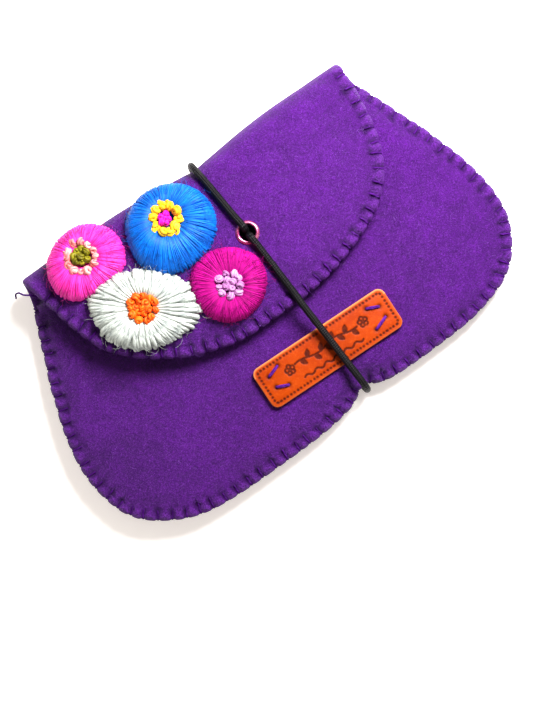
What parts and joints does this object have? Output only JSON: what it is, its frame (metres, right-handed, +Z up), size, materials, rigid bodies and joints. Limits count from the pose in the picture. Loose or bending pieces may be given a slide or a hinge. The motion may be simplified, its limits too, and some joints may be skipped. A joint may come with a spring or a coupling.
{
  "type": "felt needle case",
  "caption": "Fold-over felt needle case with an embroidered flap, needle leaves, a sewn pocket, a leather label and an elastic cord closure.",
  "frame": {"origin": "on the surface that the closed case lies on, under the middle of its outline", "axes": "+X along the fold, +Y from the pouch's bottom edge towards the fold, +Z up through the thickness, from the back to the embroidered flap"},
  "size_m": [0.1832, 0.1099, 0.0249],
  "materials": {
    "felt_purple": "matte felt",
    "felt_lining": "matte felt",
    "felt_leaf": "matte felt",
    "thread_purple": "soft thread",
    "leather_tan": "satin",
    "metal_rose": "satin",
    "elastic_black": "woven",
    "yarn_pink": "soft thread",
    "yarn_salmon": "soft thread",
    "yarn_olive": "soft thread",
    "yarn_blue": "soft thread",
    "yarn_yellow": "soft thread",
    "yarn_crimson": "soft thread",
    "yarn_white": "soft thread",
    "yarn_orange": "soft thread",
    "yarn_magenta": "soft thread",
    "yarn_lilac": "soft thread"
  },
  "bodies": {
    "pouch": {"back_felt": "felt_purple", "pouch_lining": "felt_lining", "front_felt": "felt_purple", "pouch_stitches": "thread_purple", "leather_label": "leather_tan", "label_tacks": "thread_purple"},
    "flap": {"flap_felt": "felt_purple", "flap_lining": "felt_lining", "flap_stitches": "thread_purple", "eyelet": "metal_rose", "eyelet_washer": "metal_rose", "cord_knot": "elastic_black", "pink_petals": "yarn_pink", "pink_ring": "yarn_salmon", "pink_core": "yarn_olive", "blue_petals": "yarn_blue", "blue_ring": "yarn_yellow", "blue_core": "yarn_crimson", "white_petals": "yarn_white", "white_knots": "yarn_orange", "magenta_petals": "yarn_magenta", "magenta_knots": "yarn_lilac"},
    "leaf_low": {"leaf_lower": "felt_leaf"},
    "leaf_high": {"leaf_upper": "felt_leaf"},
    "elastic": {"elastic_cord": "elastic_black"}
  },
  "joints": [
    {"name": "flap_hinge", "type": "hinge", "parent": "pouch", "child": "flap", "pos_m": [0, 0.0516, 0.0125], "axis": [-1, 0, 0], "range_deg": [0, 160]},
    {"name": "leaf_upper_hinge", "type": "hinge", "parent": "pouch", "child": "leaf_high", "pos_m": [0, 0.0466, 0.01395], "axis": [-1, 0, 0], "range_deg": [0, 110]},
    {"name": "leaf_lower_hinge", "type": "hinge", "parent": "pouch", "child": "leaf_low", "pos_m": [0, 0.0466, 0.01265], "axis": [-1, 0, 0], "range_deg": [0, 55]},
    {"name": "elastic_swing", "type": "hinge", "parent": "flap", "child": "elastic", "pos_m": [0.0076, 0.0208, 0.0235], "axis": [0, -1, 0], "range_deg": [0, 90], "deforming": ["elastic_cord"]}
  ],
  "couplings": [
    {"joint": "leaf_upper_hinge", "follows": "flap_hinge", "ratio": 0.6875},
    {"joint": "leaf_lower_hinge", "follows": "flap_hinge", "ratio": 0.34375},
    {"joint": "elastic_swing", "follows": "flap_hinge", "ratio": 0.5625}
  ]
}
